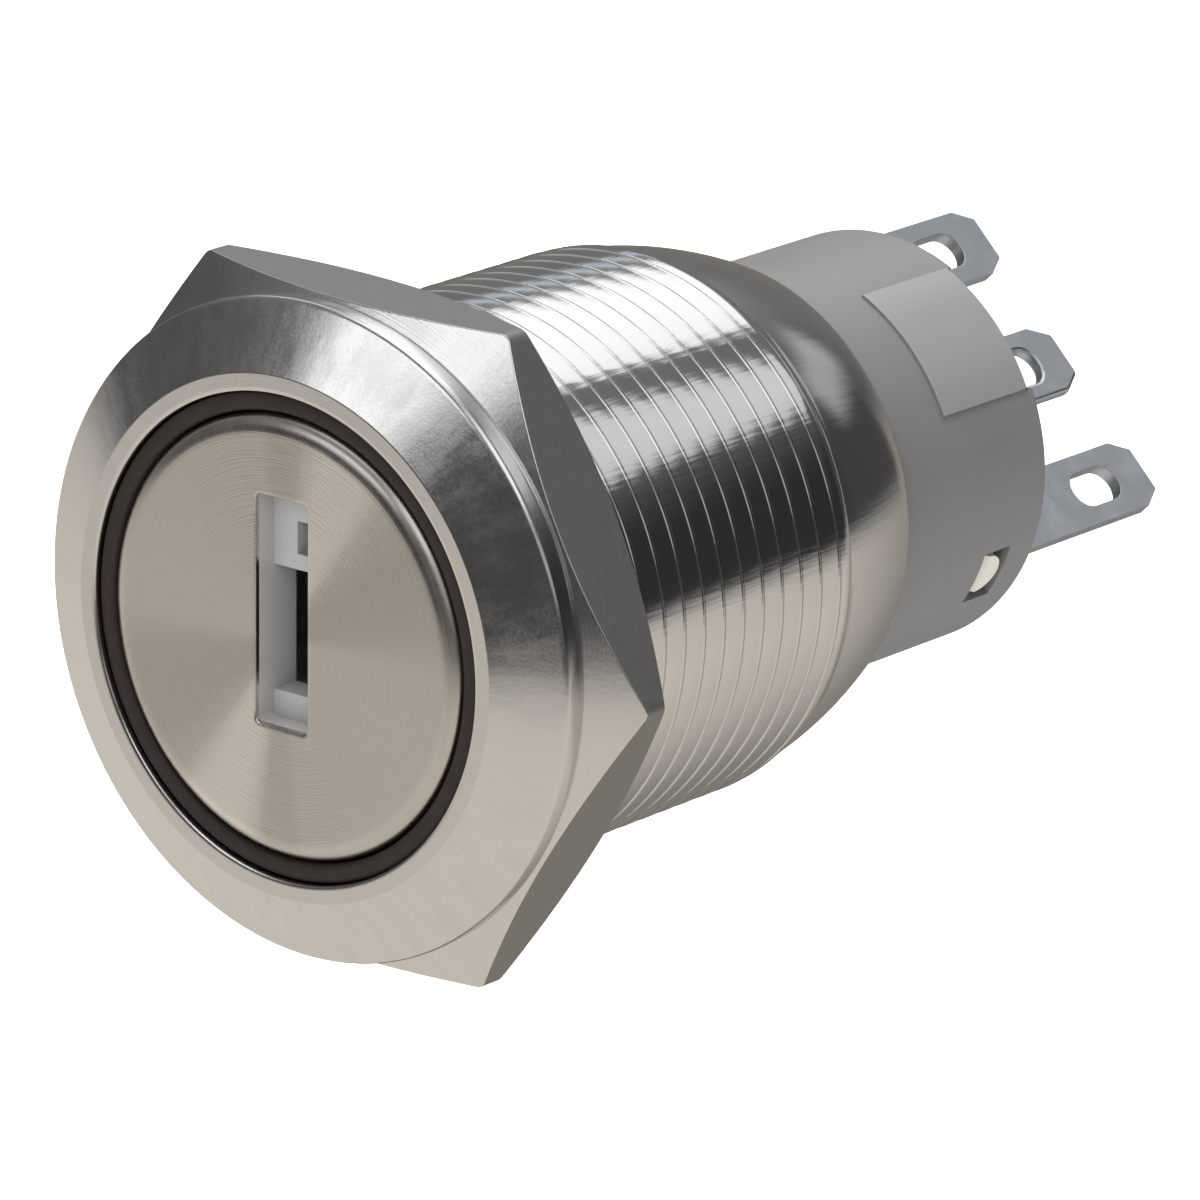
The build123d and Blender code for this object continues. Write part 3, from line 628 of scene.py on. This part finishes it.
# Painted light: the pad's plastic is painted lighter than the housing's, standing in for the light that a
# flatter face would catch. It is also smoother.
pad_plastic_painted_light = moulded_finish("pad_plastic_painted_light", grey(0.16, 0.02), grey(0.18, 0.03), 0.3, 0.4)
ivory_plastic = moulded_finish("ivory_plastic", (0.4, 0.39, 0.34, 1), (0.47, 0.46, 0.41, 1), 0.4, 0.5)
guide_plastic = moulded_finish("guide_plastic", grey(0.3, 0.05), grey(0.37, 0.04), 0.38, 0.5)
white_plastic = moulded_finish("white_plastic", grey(0.72, 0.04), grey(0.8, 0.03), 0.35, 0.45)

housing_low, housing_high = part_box("rear_housing")
housing_y0 = housing_low.y / mm
housing_y1 = housing_high.y / mm
housing_r = 7.27
housing_in_r = 6.72
pad_mid, pad_half = math.radians(45), math.radians(20)
pad_raise = 0.1
pad_ramp = 0.37
pad_len = 5.0
pad_y = housing_y1 - pad_len
pad_step = 0.02
pad_side = 0.003
end_hold = 0.1
window_mid = math.radians(-26)
window_half = math.radians(8.35)
window_y0, window_y1 = housing_y1 - 2.82, housing_y1 - 1.39


def shell_piece(name, outer, inner, kept, finishes, second, crease):
    """A wall between two grids of points, closed round its columns. A cell is there where kept is
    true, and a side face closes the wall wherever kept changes from one cell to the next. Outer
    cells where second is true get the second finish."""
    rows, columns = outer.shape[:2]
    out = np.arange(rows * columns).reshape(rows, columns)
    back = out + rows * columns
    out_next = np.roll(out, -1, axis=1)
    back_next = np.roll(back, -1, axis=1)
    skins = [
        np.stack([out[:-1], out[1:], out_next[1:], out_next[:-1]], axis=-1)[kept],
        np.stack([back[:-1], back_next[:-1], back_next[1:], back[1:]], axis=-1)[kept],
    ]
    padded = np.pad(kept.astype(int), ((1, 1), (0, 0)))
    change = np.diff(padded, axis=0)
    ends = np.stack([out, out_next, back_next, back], axis=-1)
    skins += [ends[change == 1], ends[change == -1][:, ::-1]]
    turn = kept.astype(int) - np.roll(kept.astype(int), 1, axis=1)
    sides = np.stack([out[:-1], back[:-1], back[1:], out[1:]], axis=-1)
    skins += [sides[turn == 1], sides[turn == -1][:, ::-1]]
    points = np.concatenate([outer.reshape(-1, 3), inner.reshape(-1, 3)])
    faces = np.concatenate(skins)
    which = np.zeros(len(faces), int)
    which[:kept.sum()] = second[kept]
    return piece_from(name, points, faces, finishes, which, crease)


def housing_piece():
    """Outer wall r = R, plus the pad's raise inside its edges, less its ramp towards the rear; inner
    wall plain; cells inside the two windows are left out."""
    marks = [window_mid - window_half, window_mid + window_half, pad_mid - pad_half - pad_side,
             pad_mid - pad_half, pad_mid + pad_half, pad_mid + pad_half + pad_side]
    marks += [mark + math.pi for mark in marks[:2]]
    angles = np.unique(np.round(np.concatenate([np.linspace(-np.pi, np.pi, 181)[:-1], marks]), 6))
    along = np.unique(np.concatenate([
        np.linspace(housing_y0, housing_y1, 24), [pad_y, pad_y + pad_step, window_y0, window_y1],
        [housing_y0 + end_hold, housing_y1 - end_hold, housing_y1 - pad_ramp],
    ]))
    across = np.clip((pad_half + pad_side - np.abs(angles - pad_mid)) / pad_side, 0, 1)
    raised = pad_raise * np.clip((along[:, None] - pad_y) / pad_step, 0, 1)
    ramped = np.maximum(along[:, None] - housing_y1 + pad_ramp, 0)
    outer_r = housing_r + across * (raised - ramped)
    y = np.repeat(along[:, None], len(angles), axis=1)
    outer = around(np.stack([outer_r, y], axis=-1), angles)
    inner = around(np.stack([np.full_like(y, housing_in_r), y], axis=-1), angles)
    mid_y = (along[:-1] + along[1:]) / 2
    mid_angle = (angles + np.append(angles[1:], angles[0] + 2 * np.pi)) / 2
    turn = (mid_angle - window_mid + np.pi / 2) % np.pi - np.pi / 2
    in_window = (np.abs(turn) < window_half) & ((mid_y > window_y0) & (mid_y < window_y1))[:, None]
    on_pad = (np.abs(mid_angle - pad_mid) < pad_half) & (mid_y > pad_y + pad_step)[:, None]
    return shell_piece("housing", outer, inner, ~in_window, [housing_plastic, pad_plastic_painted_light], on_pad, 35)


housing = housing_piece()
soften = housing.modifiers.new("soft_edges", "BEVEL")
soften.width = 0.05 * mm
soften.segments = 2
soften.limit_method = "ANGLE"
soften.angle_limit = math.radians(40)
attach(housing, "switch_body")
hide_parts("rear_housing")


# Solder lugs: stamped from brass strip and tinned, so their edges roll over and shine, with an
# oblong hole for the wire. They pass through the potted carrier into the housing.
tin = Finish("tinned_brass", Metallic=1.0)
tin_clouds = tin.grain(0.8 * mm)
tin_fine = tin.grain(0.12 * mm)
tin.coat(
    colour=tin.mix(tin_clouds * 0.6 + tin_fine * 0.4, (0.44, 0.47, 0.51, 1), (0.58, 0.61, 0.65, 1)),
    roughness=tin.ramp(tin_clouds, 0.3, 0.7, 0.3, 0.45),
    height=tin_fine,
    depth=0.003 * mm,
)
lug_edge = 0.17 * mm
lug_edge_steps = 5


def eased_copy(node, name, finish, width, segments):
    """A copy of a solid's mesh, its triangles joined back into whole faces and its edges rolled over."""
    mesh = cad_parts[node].data.copy()
    mesh.name = name
    join = bmesh.new()
    join.from_mesh(mesh)
    bmesh.ops.remove_doubles(join, verts=join.verts, dist=0.0001 * mm)
    bmesh.ops.dissolve_limit(join, angle_limit=math.radians(1), verts=join.verts, edges=join.edges)
    join.to_mesh(mesh)
    join.free()
    mesh.materials.clear()
    mesh.materials.append(finish.material)
    mesh.shade_smooth()
    mesh.set_sharp_from_angle(angle=math.radians(35))
    made = bpy.data.objects.new(name, mesh)
    bpy.context.scene.collection.objects.link(made)
    roll = made.modifiers.new("rolled_edges", "BEVEL")
    roll.width = width
    roll.segments = segments
    roll.limit_method = "ANGLE"
    roll.angle_limit = math.radians(35)
    roll.harden_normals = True
    return made


for node in ("terminal_nc", "terminal_common", "terminal_no"):
    lug = eased_copy(node, node.replace("terminal", "lug"), tin, lug_edge, lug_edge_steps)
    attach(lug, "switch_body")
    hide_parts(node)


# Working parts inside: zinc castings, brass wafers, spring steel, silver contacts. They keep the
# solids' own shapes, because the barrel and the housing cover them.
def metal_finish(name, dark, light, low, high, spot):
    """Plain cast, rolled or drawn metal with cloudy colour and sheen."""
    finish = Finish(name, Metallic=1.0)
    clouds = finish.grain(spot)
    fine = finish.grain(0.1 * mm)
    finish.coat(
        colour=finish.mix(clouds, dark, light),
        roughness=finish.ramp(clouds, 0.3, 0.7, low, high),
        height=fine,
        depth=0.003 * mm,
    )
    return finish


zinc = metal_finish("zinc_casting", grey(0.33), grey(0.42), 0.4, 0.55, 0.7 * mm)
brass = metal_finish("wafer_brass", (0.6, 0.43, 0.17, 1), (0.72, 0.54, 0.24, 1), 0.25, 0.4, 0.6 * mm)
copper = metal_finish("contact_copper", (0.62, 0.34, 0.2, 1), (0.74, 0.44, 0.28, 1), 0.25, 0.4, 0.6 * mm)
silver = metal_finish("contact_silver", grey(0.78), grey(0.88), 0.18, 0.3, 0.5 * mm)
spring_steel = metal_finish("spring_steel", grey(0.4), grey(0.52), 0.25, 0.38, 0.5 * mm)
plain_steel = metal_finish("plain_steel", grey(0.45), grey(0.56), 0.22, 0.35, 0.6 * mm)
potting = moulded_finish("potting", grey(0.045), grey(0.06), 0.25, 0.35)

finish_of_node = {
    "panel_gasket": rubber, "key_guide": guide_plastic, "contact_base": ivory_plastic,
    "rear_seal": potting, "lock_plug": zinc, "lock_shell": zinc, "shell_pin": plain_steel,
    "plug_clip": spring_steel, "drive_cam": white_plastic, "plunger": white_plastic,
    "cam_screw": plain_steel, "index_spring_left": spring_steel, "index_spring_right": spring_steel,
    "return_spring": spring_steel, "moving_contact": copper, "moving_rivet": silver,
    "rivet_nc": silver, "rivet_no": silver,
}
for n in range(1, 6):
    finish_of_node[f"wafer_{n}"] = brass
    finish_of_node[f"wafer_spring_{n}"] = spring_steel
for node, finish in finish_of_node.items():
    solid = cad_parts[node]
    solid.data.materials.clear()
    solid.data.materials.append(finish.material)


# Floor and light: a pale sweep well below the part, and a studio that the steel mirrors. It is
# light and warm below, dark along the horizon, and has soft boxes in front, beside, behind and above.
floor_z = -45 * mm
floor_half = 4.0
floor_mesh = bpy.data.meshes.new("floor")
floor_mesh.from_pydata(
    [(-floor_half, -floor_half, floor_z), (floor_half, -floor_half, floor_z),
     (floor_half, floor_half, floor_z), (-floor_half, floor_half, floor_z)], [], [(0, 1, 2, 3)])
floor = bpy.data.objects.new("floor", floor_mesh)
bpy.context.scene.collection.objects.link(floor)
floor_paint = Finish("floor_paint", Roughness=0.9)
floor_paint.shader.inputs["Specular IOR Level"].default_value = 0.0
floor_paint.coat(colour=floor_paint.mix(floor_paint.grain(0.5), grey(0.8), grey(0.82)))
floor_paint.shader.inputs["Emission Color"].default_value = grey(1.0)
floor_paint.shader.inputs["Emission Strength"].default_value = 0.42
floor_mesh.materials.append(floor_paint.material)
floor.visible_glossy = False

world = bpy.data.worlds.new("studio")
world.use_nodes = True
bpy.context.scene.world = world
sky = Nodes(world.node_tree)
to_x = sky.node("ShaderNodeSeparateXYZ", {}, {0: sky.node("ShaderNodeTexCoord", out="Generated")})
to_y, to_z = to_x.out("Y"), to_x.out("Z")
# Both bearings turn anticlockwise seen from above, one from the front and one from the rear.
degrees = 180 / math.pi
height = to_z.math("ARCSINE", to_z) * degrees
bearing = to_x.math("ARCTAN2", to_x, 0 - to_y) * degrees
rear_bearing = to_x.math("ARCTAN2", 0 - to_x, to_y) * degrees


def soft_box(turn, left, right, low, high, soft=3.0, slope=0.0):
    """1 inside a window of bearings and heights in degrees, fading to 0 across soft at its edges. Its
    low and high edges fall by slope for each degree of bearing."""
    across = sky.ramp(turn, left - soft, left + soft) * sky.ramp(turn, right - soft, right + soft, 1, 0)
    level = height + turn * slope
    return across * sky.ramp(level, low - soft, low + soft) * sky.ramp(level, high - soft, high + soft, 1, 0)


upward = to_z.math("MAXIMUM", to_z, 0.05)
plan_x = to_x / upward
plan_y = to_y / upward


def ceiling_box(left, right, front, back, soft=0.12):
    """1 inside a window of the ceiling, in x / z and y / z, fading to 0 across soft at its edges."""
    across = sky.ramp(plan_x, left - soft, left + soft) * sky.ramp(plan_x, right - soft, right + soft, 1, 0)
    along = sky.ramp(plan_y, front - soft, front + soft) * sky.ramp(plan_y, back - soft, back + soft, 1, 0)
    return across * along


round_rear = bearing.math("ABSOLUTE", bearing)
horizon = sky.ramp(bearing, -85, -30, -3.0, -14.0) + sky.ramp(round_rear, 90, 160, 0.0, 5.5)
ground = sky.ramp(height - horizon, -5, 4, 1, 0)
rear_dip = sky.ramp(rear_bearing, -50, 32) * sky.ramp(rear_bearing, 50, 80, 1, 0)
ground_level = (1 - 0.7 * rear_dip) * sky.ramp(height, -30, 3, 1.0, 0.8)
band = (0.11 - 0.035 * sky.ramp(bearing, -45, -15) - 0.037 * soft_box(bearing, 102, 152, -20, 36, 6)
        + 0.09 * sky.ramp(rear_bearing, 0, 20) * sky.ramp(rear_bearing, 60, 80, 1, 0))
upper = sky.ramp(height, 12, 36) * 0.13
window = soft_box(rear_bearing, 34, 41, 17.5, 21.5, 1)
front_box = soft_box(bearing, -38, 0, 25, 41, 2, -0.2) * 1.6
side_box = soft_box(bearing, 35, 95, 10, 27, 5) * 0.45
rear_boxes = (soft_box(rear_bearing, -38, -16, 27.5, 43, 2) * 0.75
              + soft_box(rear_bearing, -3, 36, 38.5, 58, 1.5, 0.35) * 1.25
              + soft_box(rear_bearing, -14, 7, 12.5, 24, 4) * 0.42
              + window * 0.6)
overhead_boxes = (ceiling_box(-0.5, 0.2, -0.4, 0.85) * 1.45
                  + ceiling_box(0.38, 1.25, -1.45, 0.1, 0.2) * 1.3
                  + ceiling_box(0.3, 1.0, -0.05, 0.5) * 0.35
                  + ceiling_box(-1.5, -0.62, 0.15, 0.9) * 0.6)
room = band + upper + front_box + side_box + rear_boxes + overhead_boxes
window_colour = (0.8, 0.88, 1.0, 1)
ground_colour = (0.84, 0.785, 0.705, 1)
room_colour = sky.mix(window, grey(1.0), window_colour)
shade = sky.mix(ground, room_colour, ground_colour)
level = room * (1 - ground) + ground * ground_level
background = world.node_tree.nodes["Background"]
sky.feed(background.inputs["Color"], shade)
sky.feed(background.inputs["Strength"], level)


def soft_light(name, place, size, power):
    """A square area light that faces the part."""
    lamp = bpy.data.lights.new(name, "AREA")
    lamp.size = size
    lamp.energy = power
    made = bpy.data.objects.new(name, lamp)
    aim = (-Vector(place)).to_track_quat("-Z", "Y").to_matrix().to_4x4()
    made.matrix_world = Matrix.Translation(place) @ aim
    made.visible_glossy = False
    bpy.context.scene.collection.objects.link(made)


soft_light("overhead_light", (-0.1, 0.05, 0.5), 0.5, 5.5)
soft_light("front_light", (0.25, -0.35, 0.25), 0.3, 1.0)

bpy.context.scene.view_settings.view_transform = "Standard"


# Camera: where the photograph was taken from, found from the rings, the hexagon and the thread. It
# looks down on the face from the front right with a long lens.
camera_place = (176.168 * mm, -199.208 * mm, 85.266 * mm)
camera_bearing = math.radians(39.572)
camera_height = math.radians(17.593)
camera_roll = math.radians(0.715)
camera_lens = 261.02

back = np.array([math.sin(camera_bearing) * math.cos(camera_height),
                 -math.cos(camera_bearing) * math.cos(camera_height), math.sin(camera_height)])
level_right = np.cross(-back, (0, 0, 1))
level_right /= np.linalg.norm(level_right)
level_up = np.cross(level_right, -back)
camera_right = level_right * math.cos(camera_roll) + level_up * math.sin(camera_roll)
camera_up = level_up * math.cos(camera_roll) - level_right * math.sin(camera_roll)
view = np.eye(4)
view[:3, 0], view[:3, 1], view[:3, 2], view[:3, 3] = camera_right, camera_up, back, camera_place
camera_data = bpy.data.cameras.new("camera")
camera_data.lens = camera_lens
camera_data.sensor_width = 36.0
camera_data.clip_start = 0.01
camera = bpy.data.objects.new("camera", camera_data)
camera.matrix_world = Matrix(view.tolist())
bpy.context.scene.collection.objects.link(camera)
bpy.context.scene.camera = camera
